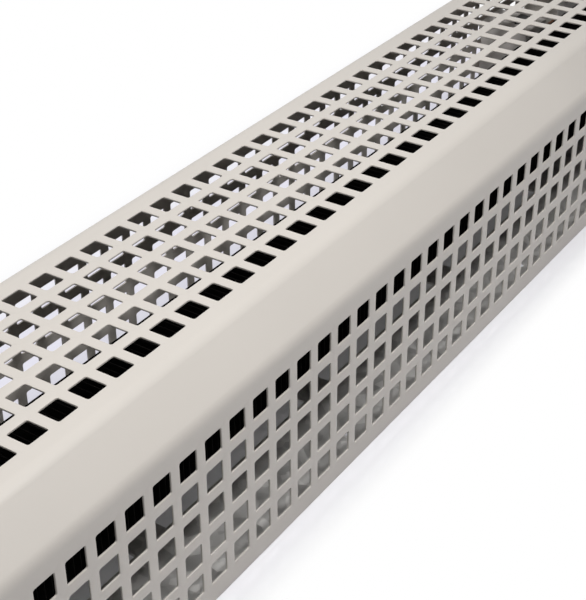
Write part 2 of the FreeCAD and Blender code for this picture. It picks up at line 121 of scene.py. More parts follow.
class ElementSettings(bpy.types.PropertyGroup):
    """Sizes of the finned element and its wiring."""

    fin_pitch: FloatProperty(
        name="Fin pitch", description="Distance from fin to fin", default=4 * MM, unit="LENGTH")
    fin_sheet: FloatProperty(
        name="Fin sheet", description="Thickness of a fin", default=0.4 * MM, unit="LENGTH")
    fin_corner: FloatProperty(
        name="Fin corner", description="Clip of a fin's corners", default=0.45 * MM, unit="LENGTH")
    tab: FloatProperty(
        name="Tab", description="Height of the tabs that keep the tops of the fins apart", default=4 * MM,
        unit="LENGTH")
    tab_gap: FloatProperty(
        name="Tab gap", description="Gap between a tab and the next fin", default=0.05 * MM, unit="LENGTH")
    collar: FloatProperty(
        name="Collar", description="Length of the collar round the strip", default=1.8 * MM, unit="LENGTH")
    wire: FloatProperty(
        name="Wire", description="Radius of a sleeved wire", default=1.45 * MM, unit="LENGTH")
    wire_sides: IntProperty(
        name="Wire sides", description="Faces round a wire", default=14, min=3)
    bend: FloatProperty(
        name="Bend", description="Radius of a wire's bends", default=8 * MM, unit="LENGTH")
    bend_steps: IntProperty(
        name="Bend steps", description="Faces along each bend of a wire", default=8, min=2)


class ScrewSettings(bpy.types.PropertyGroup):
    """Sizes and places of the screws."""

    head: FloatProperty(
        name="Head", description="Radius of a screw's head", default=3 * MM, unit="LENGTH")
    bracket_sheet: FloatProperty(
        name="Bracket sheet", description="Thickness of an element bracket", default=1.5 * MM,
        unit="LENGTH")
    bracket_spread: FloatProperty(
        name="Bracket spread", description="From the middle to a bracket's screw", default=28 * MM,
        unit="LENGTH")
    end_spread: FloatProperty(
        name="End spread", description="From the middle to an end's screw", default=42 * MM, unit="LENGTH")
    earth_head: FloatProperty(
        name="Earth head", description="Radius of the earth screw's head", default=1.8 * MM, unit="LENGTH")
    earth_inset: FloatProperty(
        name="Earth inset", description="From the earth tag's corner to its screw", default=1.9 * MM,
        unit="LENGTH")


class FinishSettings(bpy.types.PropertyGroup):
    """Colours of the finishes."""

    paint: FloatVectorProperty(
        name="Paint", description="Powder coat of the cover and the ends", subtype="COLOR",
        default=(0.595, 0.557, 0.512), min=0, max=1)
    zinc: FloatVectorProperty(
        name="Zinc", description="Galvanised tray and brackets", subtype="COLOR",
        default=(0.75, 0.735, 0.71), min=0, max=1)
    box: FloatVectorProperty(
        name="Box", description="Terminal box and its lid", subtype="COLOR",
        default=(0.72, 0.68, 0.65), min=0, max=1)
    soot: FloatVectorProperty(
        name="Element", description="Black coat of the element", subtype="COLOR",
        default=(0.0035, 0.003, 0.0027), min=0, max=1)


class StageSettings(bpy.types.PropertyGroup):
    """Camera, lamps and floor."""

    camera_place: FloatVectorProperty(
        name="Camera place", description="Where the camera stands", subtype="TRANSLATION",
        default=(-0.51518, -0.30696, 0.3886))
    camera_turn: FloatVectorProperty(
        name="Camera turn", description="How the camera is turned", subtype="EULER",
        default=(math.radians(57.6072), math.radians(0.4162), math.radians(-56.2919)))
    lens: FloatProperty(
        name="Lens", description="Focal length in millimetres", default=82.99)
    key: FloatProperty(
        name="Key", description="Power of the lamp in front", default=6.2, unit="POWER")
    overhead: FloatProperty(
        name="Overhead", description="Power of the soft lamp overhead", default=2.5, unit="POWER")
    side: FloatProperty(
        name="Side", description="Power of the weak lamp off each end", default=0.26, unit="POWER")
    fill: FloatProperty(
        name="Fill", description="Strength of the light from all round", default=0.06)
    floor: FloatVectorProperty(
        name="Floor", description="Colour of the floor", subtype="COLOR", default=(0.95, 0.95, 0.99),
        min=0, max=1)
    floor_reach: FloatProperty(
        name="Floor reach", description="How far the floor goes on each side", default=6, unit="LENGTH")
    floor_gap: FloatProperty(
        name="Floor gap", description="How far the floor lies below the tray", default=0.2 * MM,
        unit="LENGTH")
    bounce: FloatProperty(
        name="Bounce", description="Share of light that the floor throws back at the heater", default=0.76,
        min=0, max=1)
    front_fade: FloatVectorProperty(
        name="Front fade", description="Where the floor in front starts and ends its fade to white",
        size=2, default=(-0.061, -0.083), unit="LENGTH")
    back_fade: FloatVectorProperty(
        name="Back fade", description="Where the floor behind starts and ends its fade to the backdrop",
        size=2, default=(0.04, 0.12), unit="LENGTH")
    end_fade: FloatVectorProperty(
        name="End fade", description="Where the floor past each end starts and ends its fade to white",
        size=2, default=(0.345, 0.43), unit="LENGTH")
    # Painted light: a faint glow of the backdrop left on the floor under the heater, which lifts the
    # heater's shade seen through the tray's slots
    under: FloatProperty(
        name="Under", description="Share of the backdrop left on the floor under the heater", default=0.06,
        min=0, max=1)
    # Painted shadow: a lavender tint on the backdrop close behind the heater, standing in for the heater's
    # soft shadow there
    lee: FloatVectorProperty(
        name="Lee", description="Tint of the backdrop close behind the heater", subtype="COLOR",
        default=(0.79, 0.78, 0.87), min=0, max=1)
    painted_shadow_start: FloatVectorProperty(
        name="Lee start", description="Where the tint's fade towards the heater starts and ends",
        size=2, default=(0.05, 0.02), unit="LENGTH")
    painted_shadow_end: FloatVectorProperty(
        name="Lee end", description="Where the tint behind the heater starts and ends its turn to white",
        size=2, default=(0.13, 0.19), unit="LENGTH")


# Finishes

def start_finish(name, roughness, metallic=0.0):
    """A new material with its tree, its shader and its object coordinates."""
    material = bpy.data.materials.new(name)
    material.use_nodes = True
    tree = material.node_tree
    shader = tree.nodes["Principled BSDF"]
    shader.inputs["Roughness"].default_value = roughness
    shader.inputs["Metallic"].default_value = metallic
    place = tree.nodes.new("ShaderNodeTexCoord").outputs["Object"]
    return material, tree, shader, place


def add_noise(tree, place, scale, detail):
    """A cloudy pattern."""
    noise = tree.nodes.new("ShaderNodeTexNoise")
    noise.inputs["Scale"].default_value = scale
    noise.inputs["Detail"].default_value = detail
    tree.links.new(place, noise.inputs["Vector"])
    return noise.outputs["Fac"]


def add_cells(tree, place, scale):
    """A pattern of crystals, each of one tone."""
    cells = tree.nodes.new("ShaderNodeTexVoronoi")
    cells.inputs["Scale"].default_value = scale
    tree.links.new(place, cells.inputs["Vector"])
    split = tree.nodes.new("ShaderNodeSeparateColor")
    tree.links.new(cells.outputs["Color"], split.inputs["Color"])
    return split.outputs["Red"]


def add_threads(tree, place, scale, turn):
    """A pattern of parallel threads that is turned in space."""
    mapping = tree.nodes.new("ShaderNodeMapping")
    mapping.inputs["Rotation"].default_value = turn
    tree.links.new(place, mapping.inputs["Vector"])
    wave = tree.nodes.new("ShaderNodeTexWave")
    wave.inputs["Scale"].default_value = scale
    tree.links.new(mapping.outputs["Vector"], wave.inputs["Vector"])
    return wave.outputs["Fac"]


def stretch(tree, place, along, across, up):
    """Coordinates scaled along each axis, so that a pattern is drawn out along the least of them."""
    mapping = tree.nodes.new("ShaderNodeMapping")
    mapping.inputs["Scale"].default_value = (along, across, up)
    tree.links.new(place, mapping.inputs["Vector"])
    return mapping.outputs["Vector"]


def joined(tree, operation, first, second):
    """Two values joined by a product, a maximum or another operation."""
    node = tree.nodes.new("ShaderNodeMath")
    node.operation = operation
    tree.links.new(first, node.inputs[0])
    tree.links.new(second, node.inputs[1])
    return node.outputs["Value"]


def shade(colour, share):
    """A colour made darker or lighter by a share."""
    return tuple(min(1.0, part * share) for part in colour)


def colour_between(tree, factor, colour, dark, light, low=0.0, high=1.0):
    """Colour that goes from dark to light as a pattern rises from low to high."""
    ramp = tree.nodes.new("ShaderNodeValToRGB")
    ramp.color_ramp.elements[0].position = low
    ramp.color_ramp.elements[0].color = (*dark, 1)
    ramp.color_ramp.elements[1].position = high
    ramp.color_ramp.elements[1].color = (*light, 1)
    tree.links.new(factor, ramp.inputs["Fac"])
    tree.links.new(ramp.outputs["Color"], colour)


def tone_between(tree, factor, shader, colour, dark, light, low=0.3, high=0.7):
    """Base colour that goes from a dark to a light share of one colour as a pattern rises."""
    base = shader.inputs["Base Color"]
    colour_between(tree, factor, base, shade(colour, dark), shade(colour, light), low, high)


def roughness_between(tree, factor, shader, low, high):
    """Roughness that goes from low to high as a pattern rises."""
    span = tree.nodes.new("ShaderNodeMapRange")
    span.inputs["To Min"].default_value = low
    span.inputs["To Max"].default_value = high
    tree.links.new(factor, span.inputs["Value"])
    tree.links.new(span.outputs["Result"], shader.inputs["Roughness"])


def add_relief(tree, height, shader, strength, depth):
    """Fine relief in the surface from a pattern."""
    bump = tree.nodes.new("ShaderNodeBump")
    bump.inputs["Strength"].default_value = strength
    bump.inputs["Distance"].default_value = depth
    tree.links.new(height, bump.inputs["Height"])
    tree.links.new(bump.outputs["Normal"], shader.inputs["Normal"])


def powder_coat(name, colour):
    """Satin powder coat: fine orange peel and a faint drift of tone."""
    material, tree, shader, place = start_finish(name, roughness=0.42)
    drift = add_noise(tree, place, scale=9, detail=2)
    tone_between(tree, drift, shader, colour, dark=0.975, light=1.02)
    peel = add_noise(tree, place, scale=1100, detail=2)
    roughness_between(tree, peel, shader, low=0.38, high=0.5)
    add_relief(tree, peel, shader, strength=0.12, depth=0.1 * MM)
    return material


def galvanised_steel(name, colour):
    """Hot-dip zinc: crystals of slightly different tone, with rolling marks along the sheet."""
    material, tree, shader, place = start_finish(name, roughness=0.4, metallic=0.65)
    crystals = add_cells(tree, place, scale=170)
    tone_between(tree, crystals, shader, colour, dark=0.84, light=1.12, low=0, high=1)
    roughness_between(tree, crystals, shader, low=0.3, high=0.46)
    rolling = add_noise(tree, stretch(tree, place, along=60, across=900, up=900), scale=1, detail=3)
    add_relief(tree, rolling, shader, strength=0.15, depth=0.08 * MM)
    return material


def box_steel(name, colour):
    """Zinc-plated box steel, dull and a little warm."""
    material, tree, shader, place = start_finish(name, roughness=0.5, metallic=0.1)
    drift = add_noise(tree, place, scale=45, detail=4)
    tone_between(tree, drift, shader, colour, dark=0.9, light=1.08)
    roughness_between(tree, drift, shader, low=0.42, high=0.58)
    grain = add_noise(tree, place, scale=1300, detail=2)
    add_relief(tree, grain, shader, strength=0.1, depth=0.06 * MM)
    return material


def stove_black(name, colour):
    """Matt heat-proof coat with a fine grain."""
    material, tree, shader, place = start_finish(name, roughness=0.6)
    shader.inputs["Specular IOR Level"].default_value = 0.05
    grain = add_noise(tree, place, scale=900, detail=3)
    tone_between(tree, grain, shader, colour, dark=0.7, light=1.6)
    roughness_between(tree, grain, shader, low=0.5, high=0.7)
    add_relief(tree, grain, shader, strength=0.2, depth=0.1 * MM)
    return material


def moulded(name, colour, roughness):
    """Moulded insulating material with a fine spark-eroded skin."""
    material, tree, shader, place = start_finish(name, roughness)
    drift = add_noise(tree, place, scale=60, detail=3)
    tone_between(tree, drift, shader, colour, dark=0.93, light=1.06)
    skin = add_noise(tree, place, scale=1500, detail=2)
    roughness_between(tree, skin, shader, low=roughness - 0.06, high=roughness + 0.08)
    add_relief(tree, skin, shader, strength=0.15, depth=0.05 * MM)
    return material


def plated(name, colour, roughness):
    """Plated metal with faint drawing marks."""
    material, tree, shader, place = start_finish(name, roughness, metallic=1.0)
    marks = add_noise(tree, stretch(tree, place, along=300, across=300, up=2500), scale=1, detail=3)
    tone_between(tree, marks, shader, colour, dark=0.88, light=1.06)
    roughness_between(tree, marks, shader, low=roughness - 0.06, high=roughness + 0.1)
    add_relief(tree, marks, shader, strength=0.1, depth=0.04 * MM)
    return material


def braided_sleeve(name, colour):
    """Woven glass sleeve of a heat-proof wire: two sets of threads that cross."""
    material, tree, shader, place = start_finish(name, roughness=0.7)
    threads = [add_threads(tree, place, scale=420, turn=(0.4, 0.2, lean)) for lean in (0.7, -0.7)]
    weave = joined(tree, "MULTIPLY", *threads)
    tone_between(tree, weave, shader, colour, dark=0.7, light=1.15, low=0, high=0.6)
    add_relief(tree, weave, shader, strength=0.4, depth=0.15 * MM)
    return material


def finishes():
    """Every finish by the slot that it belongs to, made once."""
    settings = bpy.context.scene.heater_finishes
    # The maker of each slot's finish, then the finish's name, its colour and, for some, its roughness
    makers = {
        "casing_paint": (powder_coat, "powder_coat", settings.paint),
        "galvanised": (galvanised_steel, "galvanised_steel", settings.zinc),
        "box_grey": (box_steel, "box_steel", settings.box),
        "element_black": (stove_black, "stove_black", settings.soot),
        "insulator": (moulded, "ceramic_white", (0.72, 0.69, 0.6), 0.55),
        "black_plastic": (moulded, "black_moulding", (0.03, 0.03, 0.03), 0.5),
        "button_plastic": (moulded, "button_moulding", (0.08, 0.08, 0.08), 0.3),
        "plated_steel": (plated, "bright_zinc", (0.62, 0.62, 0.6), 0.3),
        "clamp_brass": (plated, "clamp_brass", (0.66, 0.46, 0.18), 0.3),
        "lead_brown": (braided_sleeve, "brown_sleeve", (0.17, 0.08, 0.045)),
        "lead_blue": (braided_sleeve, "blue_sleeve", (0.05, 0.12, 0.36)),
        "lead_green": (braided_sleeve, "green_sleeve", (0.16, 0.36, 0.07)),
    }
    return {slot: bpy.data.materials.get(name) or maker(name, *values)
            for slot, (maker, name, *values) in makers.items()}


# Modelling tools

def points_of(geometry):
    """The points in a mix of points, edges and faces."""
    return [part for part in geometry if isinstance(part, bmesh.types.BMVert)]


def edges_of(geometry):
    """The edges in a mix of points, edges and faces."""
    return [part for part in geometry if isinstance(part, bmesh.types.BMEdge)]


def faces_of(geometry):
    """The faces in a mix of points, edges and faces."""
    return [part for part in geometry if isinstance(part, bmesh.types.BMFace)]


def whole(mesh):
    """All points, edges and faces of a mesh."""
    return [*mesh.verts, *mesh.edges, *mesh.faces]


def once(parts):
    """A list of parts in their first order, each of them once."""
    return list(dict.fromkeys(parts))


def finish_piece(name, mesh, body, slot, *nodes):
    """Make a piece of a finished mesh, let it ride on a body and stand for CAD nodes."""
    data = bpy.data.meshes.new(name)
    mesh.to_mesh(data)
    mesh.free()
    data.shade_smooth()
    data.set_sharp_from_angle(angle=math.radians(50))
    data.materials.append(finishes()[slot])
    piece = bpy.data.objects.new(name, data)
    bpy.context.scene.collection.objects.link(piece)
    weighted = piece.modifiers.new("Weighted normals", "WEIGHTED_NORMAL")
    weighted.keep_sharp = True
    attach(piece, body)
    if nodes:
        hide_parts(*nodes)
    return piece


def round_edges(mesh, radius, segments=2, corner=30):
    """Round every edge that turns by more than a corner's angle."""
    limit = math.radians(corner)
    sharp = [edge for edge in mesh.edges if edge.is_manifold and edge.calc_face_angle() > limit]
    bmesh.ops.bevel(mesh, geom=sharp, offset=radius, affect="EDGES", segments=segments, profile=0.5,
                    material=-1, clamp_overlap=True)


def merge(mesh):
    """Join points that lie on each other."""
    bmesh.ops.remove_doubles(mesh, verts=mesh.verts, dist=TOUCH)


def recalculate(mesh):
    """Turn all faces outwards."""
    bmesh.ops.recalc_face_normals(mesh, faces=mesh.faces)


def rounded_node(name, node, radius, segments=2):
    """A CAD node's own shape with its edges rounded."""
    mesh = bmesh.new()
    mesh.from_mesh(frame["nodes"][node].data)
    merge(mesh)
    bmesh.ops.dissolve_limit(mesh, angle_limit=math.radians(1), verts=mesh.verts, edges=mesh.edges)
    round_edges(mesh, radius, segments)
    return finish_piece(name, mesh, BODIES[node], SLOTS[node], node)


def rounded_plate(mesh, width, height, corner, segments=1):
    """A flat plate with clipped or rounded corners, in the XY plane."""
    made = bmesh.ops.create_grid(mesh, x_segments=1, y_segments=1, size=0.5)["verts"]
    bmesh.ops.scale(mesh, vec=(width, height, 1), verts=made)
    plate = made[0].link_faces[0]
    if corner:
        made = bmesh.ops.bevel(mesh, geom=made, offset=corner, affect="VERTICES", segments=segments,
                               profile=0.5, material=-1)
        plate = made["verts"][0].link_faces[0]
    return plate


def windowed_plate(mesh, outside, inside):
    """A flat ring between two plates, each given as width, height, corner and the corner's segments."""
    edges = []
    for size in (outside, inside):
        plate = rounded_plate(mesh, *size)
        edges += list(plate.edges)
        bmesh.ops.delete(mesh, geom=[plate], context="FACES_ONLY")
    return bmesh.ops.bridge_loops(mesh, edges=edges)["faces"]


def copy_along(mesh, geometry, step, count):
    """Set copies of a shape in a row."""
    everything = list(geometry)
    for _ in range(count - 1):
        geometry = bmesh.ops.duplicate(mesh, geom=geometry)["geom"]
        bmesh.ops.translate(mesh, verts=points_of(geometry), vec=step)
        everything += geometry
    return everything


def draw_out(mesh, edges, vector):
    """Extrude a row of edges and return the row at the far side."""
    made = bmesh.ops.extrude_edge_only(mesh, edges=edges)["geom"]
    points = set(points_of(made))
    bmesh.ops.translate(mesh, verts=list(points), vec=vector)
    return [edge for edge in edges_of(made) if edge.verts[0] in points and edge.verts[1] in points]


def draw_face(mesh, face, vector):
    """Extrude a face and return the face at the far side."""
    made = bmesh.ops.extrude_face_region(mesh, geom=[face])["geom"]
    bmesh.ops.translate(mesh, verts=points_of(made), vec=vector)
    return faces_of(made)[0]


def bend(mesh, edges, centre, angle, steps):
    """Bend a row of edges round an axis along X and return the row at the far side."""
    points = once(point for edge in edges for point in edge.verts)
    made = bmesh.ops.spin(mesh, geom=points + edges, cent=centre, axis=(1, 0, 0), angle=angle, steps=steps)
    return edges_of(made["geom_last"])


def border(mesh, test):
    """Border edges whose two ends both pass a test."""
    edges = [edge for edge in mesh.edges if edge.is_boundary]
    return [edge for edge in edges if all(test(point.co) for point in edge.verts)]


def near(value, target):
    """Whether two lengths are the same."""
    return abs(value - target) < TOUCH


# Cover

def perforated_panel(mesh, settings):
    """A flat panel of square holes in the XY plane, with its first corner at the origin."""
    pitch = settings.pitch
    hole = (settings.hole, settings.hole, settings.hole_corner, settings.corner_steps)
    ring = windowed_plate(mesh, (pitch, pitch, 0), hole)
    cell = once(part for face in ring for part in (face, *face.edges, *face.verts))
    bmesh.ops.translate(mesh, verts=points_of(cell), vec=(pitch / 2, pitch / 2, 0))
    row = copy_along(mesh, cell, (pitch, 0, 0), settings.columns)
    return points_of(copy_along(mesh, row, (0, pitch, 0), settings.rows))


def make_cover(settings):
    """One sheet: perforated front, fold, band, fold, perforated top, and the same again behind."""
    mesh = bmesh.new()
    half_depth = COVER_HIGH.y
    height = COVER_HIGH.z
    reach = settings.columns * settings.pitch / 2
    run, rise, radius = settings.band_run, settings.band_rise, settings.fold_radius
    lean = math.atan2(run, rise)
    level = math.pi / 2 - lean
    lower_cut = radius * math.tan(lean / 2)
    upper_cut = radius * math.tan(level / 2)
    band = Vector((0, run, rise))
    straight = band.length - lower_cut - upper_cut
    shoulder = height - rise - lower_cut
    brow = -half_depth + run + upper_cut

    # The front, from its foot up to the edge of the top's holes
    front = perforated_panel(mesh, settings)
    foot = settings.lowest_row - settings.pitch / 2
    stand = Matrix.Translation((-reach, -half_depth, foot)) @ Matrix.Rotation(math.pi / 2, 4, "X")
    bmesh.ops.transform(mesh, matrix=stand, verts=front)
    merge(mesh)
    head = foot + settings.rows * settings.pitch
    draw_out(mesh, border(mesh, lambda at: near(at.z, foot)), (0, 0, -foot))
    line = draw_out(mesh, border(mesh, lambda at: near(at.z, head)), (0, 0, shoulder - head))
    line = bend(mesh, line, (0, -half_depth + radius, shoulder), -lean, settings.fold_steps)
    line = draw_out(mesh, line, band.normalized() * straight)
    line = bend(mesh, line, (0, brow, height - radius), -level, settings.fold_steps)
    top_edge = -settings.rows * settings.pitch / 2
    draw_out(mesh, line, (0, top_edge - brow, 0))

    # The back as a mirror image, the top between them and the plain ends
    bmesh.ops.mirror(mesh, geom=whole(mesh), axis="Y", merge_dist=0)
    top = perforated_panel(mesh, settings)
    bmesh.ops.translate(mesh, verts=top, vec=(-reach, top_edge, height))
    merge(mesh)
    for side in SIDES:
        end = border(mesh, lambda at: near(at.x, side * reach))
        draw_out(mesh, end, (side * (COVER_HIGH.x - reach), 0, 0))
    merge(mesh)

    # The sheet gets its thickness inwards
    recalculate(mesh)
    crown = max(mesh.faces, key=lambda face: face.calc_center_median().z)
    if crown.normal.z < 0:
        bmesh.ops.reverse_faces(mesh, faces=mesh.faces)
    bmesh.ops.solidify(mesh, geom=list(mesh.faces), thickness=settings.sheet)
    round_edges(mesh, settings.edge, segments=1, corner=60)
    return finish_piece("perforated_cover", mesh, "cover", SLOTS["cover"], "cover")


class HEATER_OT_cover(bpy.types.Operator):
    """Fold and perforate the cover"""

    bl_idname = "heater.cover"
    bl_label = "Cover"

    def execute(self, context):
        make_cover(context.scene.heater_cover)
        return {"FINISHED"}


# Tray and ends

def add_flange(mesh, size, place):
    """A flat bar of a given size, with its middle at a place."""
    made = bmesh.ops.create_cube(mesh, size=1)["verts"]
    bmesh.ops.scale(mesh, vec=size, verts=made)
    bmesh.ops.translate(mesh, verts=made, vec=place)


def make_end_panel(name, node, cover, settings):
    """Plain end with rounded shoulders, and flanges that meet the tray and the cover."""
    low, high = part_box(node)
    side = -1 if low.x < 0 else 1
    outer = low.x if side < 0 else high.x
    sheet = settings.sheet
    gap = cover.sheet + settings.clearance
    run, rise = cover.band_run, cover.band_rise
    slope = math.hypot(run, rise)
    shoulder = COVER_HIGH.z - rise + gap * (rise - slope) / run
    brow = COVER_HIGH.y - run - gap * (slope - run) / rise

    # The plate, with corners in order from the rear foot over the top to the front foot
    mesh = bmesh.new()
    outline = [(high.y, 0), (high.y, shoulder), (brow, high.z)]
    outline += [(-y, z) for y, z in reversed(outline)]
    corners = [mesh.verts.new((outer, y, z)) for y, z in outline]
    mesh.faces.new(corners)
    _, rear_shoulder, rear_brow, front_brow, front_shoulder, _ = corners
    radius = cover.fold_radius - gap
    lean = math.atan2(run, rise)
    level = math.pi / 2 - lean
    for pair, turn in (((rear_shoulder, front_shoulder), lean), ((rear_brow, front_brow), level)):
        bmesh.ops.bevel(mesh, geom=pair, offset=radius * math.tan(turn / 2), affect="VERTICES",
                        segments=settings.shoulder_steps, profile=0.5, material=-1)
    plate = max(mesh.faces, key=lambda face: face.calc_area())
    draw_face(mesh, plate, (-side * sheet, 0, 0))

    # The flanges start in the middle of the plate
    depth = high.x - low.x
    middle = outer - side * (depth + sheet / 2) / 2
    top_half = COVER_HIGH.y - run - cover.fold_radius
    flanges = ((high.z - sheet / 2, top_half), (settings.tray_sheet + sheet / 2, settings.foot_half))
    for height, half in flanges:
        add_flange(mesh, (depth - sheet / 2, 2 * half, sheet), (middle, 0, height))
    recalculate(mesh)
    round_edges(mesh, settings.edge, corner=60)
    return finish_piece(name, mesh, "base", SLOTS[node], node)


class HEATER_OT_tray(bpy.types.Operator):
    """Dress the slotted tray"""

    bl_idname = "heater.tray"
    bl_label = "Tray"

    def execute(self, context):
        rounded_node("slotted_tray", "base_tray", radius=0.3 * MM)
        return {"FINISHED"}


class HEATER_OT_end_panels(bpy.types.Operator):
    """Make the two ends"""

    bl_idname = "heater.end_panels"
    bl_label = "End panels"

    def execute(self, context):
        cover, settings = context.scene.heater_cover, context.scene.heater_ends
        make_end_panel("end_plate_left", "end_panel_left", cover, settings)
        make_end_panel("end_plate_right", "end_panel_right", cover, settings)
        return {"FINISHED"}


# Element

def make_fins(settings):
    """Thin plates along the strip, each with a collar round it and spacing tabs at its upper corners."""
    low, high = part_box("element_fins")
    strip_low, strip_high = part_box("element_strip")
    width, height = high.y - low.y, high.z - low.z
    window_width, window_height = strip_high.y - strip_low.y, strip_high.z - strip_low.z

    def at_window(at):
        return abs(at.x) < window_width / 2 + TOUCH and abs(at.y) < window_height / 2 + TOUCH

    # One fin, flat in the XY plane
    mesh = bmesh.new()
    windowed_plate(mesh, (width, height, settings.fin_corner), (window_width, window_height, 0))
    draw_out(mesh, border(mesh, at_window), (0, 0, settings.collar))
    foot = height / 2 - settings.fin_corner - settings.tab
    bmesh.ops.bisect_plane(mesh, geom=whole(mesh), plane_co=(0, foot, 0), plane_no=(0, 1, 0))
    tabs = border(mesh, lambda at: near(abs(at.x), width / 2) and at.y > foot - TOUCH)
    draw_out(mesh, tabs, (0, 0, settings.fin_pitch - settings.tab_gap))
    bmesh.ops.solidify(mesh, geom=list(mesh.faces), thickness=-settings.fin_sheet)

    # Its width turned to Y, its height to Z, and copies along the strip
    upright = Matrix(((0, 0, 1, 0), (1, 0, 0, 0), (0, 1, 0, 0), (0, 0, 0, 1)))
    count = round((high.x - low.x) / settings.fin_pitch)
    first = (low.x + high.x) / 2 - count * settings.fin_pitch / 2
    place = Matrix.Translation((first, 0, (low.z + high.z) / 2))
    bmesh.ops.transform(mesh, matrix=place @ upright, verts=mesh.verts)
    recalculate(mesh)
    copy_along(mesh, whole(mesh), (settings.fin_pitch, 0, 0), count + 1)
    return finish_piece("plate_fins", mesh, "base", SLOTS["element_fins"], "element_fins")


class HEATER_OT_element(bpy.types.Operator):
    """Make the finned strip, its brackets and its tabs"""

    bl_idname = "heater.element"
    bl_label = "Element"

    def execute(self, context):
        make_fins(context.scene.heater_element)
        rounded_node("heating_strip", "element_strip", radius=1.6 * MM, segments=4)
        rounded_node("strip_bracket_left", "element_bracket_left", radius=0.4 * MM)
        rounded_node("strip_bracket_right", "element_bracket_right", radius=0.4 * MM)
        rounded_node("strip_bushes", "element_bushes", radius=0.3 * MM)
        rounded_node("strip_tabs", "element_terminals", radius=0.15 * MM)
        return {"FINISHED"}


# Terminal box

class HEATER_OT_terminal_box(bpy.types.Operator):
    """Dress the terminal box and what it holds"""

    bl_idname = "heater.terminal_box"
    bl_label = "Terminal box"

    def execute(self, context):
        rounded_node("junction_box", "terminal_box", radius=0.35 * MM)
        rounded_node("junction_lid", "terminal_lid", radius=0.45 * MM, segments=3)
        rounded_node("connector_block", "terminal_block", radius=0.6 * MM, segments=3)
        rounded_node("connector_clamps", "terminal_inserts", radius=0.3 * MM)
        rounded_node("entry_bush", "cable_bush", radius=0.5 * MM, segments=3)
        rounded_node("heat_cutout", "thermal_cutout", radius=0.8 * MM, segments=3)
        rounded_node("cutout_button", "reset_button", radius=0.7 * MM, segments=3)
        rounded_node("earth_plate", "earth_tag", radius=0.2 * MM)
        return {"FINISHED"}


# Wiring

def sleeved_wire(name, node, settings):
    """Round wire along a CAD lead that runs straight, turns once and runs to a tab."""
    low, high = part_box(node)
    size = high.z - low.z
    start = Vector((low.x, high.y - size / 2, (low.z + high.z) / 2))
    straight = high.x - size / 2 - settings.bend - low.x
    last = start.y - settings.bend - low.y
    centre = start + Vector((straight, -settings.bend, 0))

    mesh = bmesh.new()
    across = Matrix.Translation(start) @ Matrix.Rotation(math.pi / 2, 4, "Y")
    ring = bmesh.ops.create_circle(mesh, cap_ends=True, segments=settings.wire_sides, radius=settings.wire,
                                   matrix=across)["verts"]
    before_bend = draw_face(mesh, ring[0].link_faces[0], (straight, 0, 0))
    made = bmesh.ops.spin(mesh, geom=[before_bend], cent=centre, axis=(0, 0, 1), angle=-math.pi / 2,
                          steps=settings.bend_steps)
    after_bend = faces_of(made["geom_last"])[0]
    draw_face(mesh, after_bend, (0, -last, 0))
    # The faces where the bend starts and ends are inside the wire
    bmesh.ops.delete(mesh, geom=[before_bend, after_bend], context="FACES_ONLY")
    merge(mesh)
    recalculate(mesh)
    return finish_piece(name, mesh, "base", SLOTS[node], node)


def upright_wire(name, node, settings):
    """Round wire along a short upright CAD lead."""
    low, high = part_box(node)
    mesh = bmesh.new()
    bmesh.ops.create_cone(mesh, cap_ends=True, segments=settings.wire_sides, radius1=settings.wire,
                          radius2=settings.wire, depth=high.z - low.z,
                          matrix=Matrix.Translation((low + high) / 2))
    return finish_piece(name, mesh, "base", SLOTS[node], node)


class HEATER_OT_wiring(bpy.types.Operator):
    """Run the inner wires"""

    bl_idname = "heater.wiring"
    bl_label = "Wiring"

    def execute(self, context):
        settings = context.scene.heater_element
        sleeved_wire("live_wire", "live_lead", settings)
        sleeved_wire("neutral_wire", "neutral_lead", settings)
        upright_wire("link_wire", "link_lead", settings)
        upright_wire("earth_wire", "earth_lead", settings)
        return {"FINISHED"}


# Fasteners

def cross_screw(mesh, place, radius):
    """Pan head with a cross recess, standing up at a place."""
    height = 0.6 * radius
    crown = 0.8 * radius
    rim = 0.2 * radius
    dome = 0.1 * radius
    slot_half = 0.13 * radius
    slot_depth = 0.55 * height
    others = set(mesh.verts)
    made = bmesh.ops.create_cone(mesh, cap_ends=True, segments=20, radius1=radius, radius2=crown,
                                 depth=height, matrix=Matrix.Translation((0, 0, height / 2)))["verts"]
    faces = once(face for point in made for face in point.link_faces)
    top = max(faces, key=lambda face: face.calc_center_median().z)
    bmesh.ops.inset_individual(mesh, faces=[top], thickness=rim, depth=dome)
    field = [top, *top.edges, *top.verts]
    for axis in (Vector((1, 0, 0)), Vector((0, 1, 0))):
        for side in SIDES:
            cut = bmesh.ops.bisect_plane(mesh, geom=field, plane_co=axis * side * slot_half, plane_no=axis)
            field = cut["geom"]
    middles = {face: face.calc_center_median() for face in faces_of(field)}
    recess = [face for face, middle in middles.items() if min(abs(middle.x), abs(middle.y)) < slot_half]
    sunk = bmesh.ops.extrude_face_region(mesh, geom=recess)["geom"]
    bmesh.ops.translate(mesh, verts=points_of(sunk), vec=(0, 0, -slot_depth))
    bmesh.ops.delete(mesh, geom=recess, context="FACES_ONLY")
    screw = [point for point in mesh.verts if point not in others]
    bmesh.ops.translate(mesh, verts=screw, vec=place)


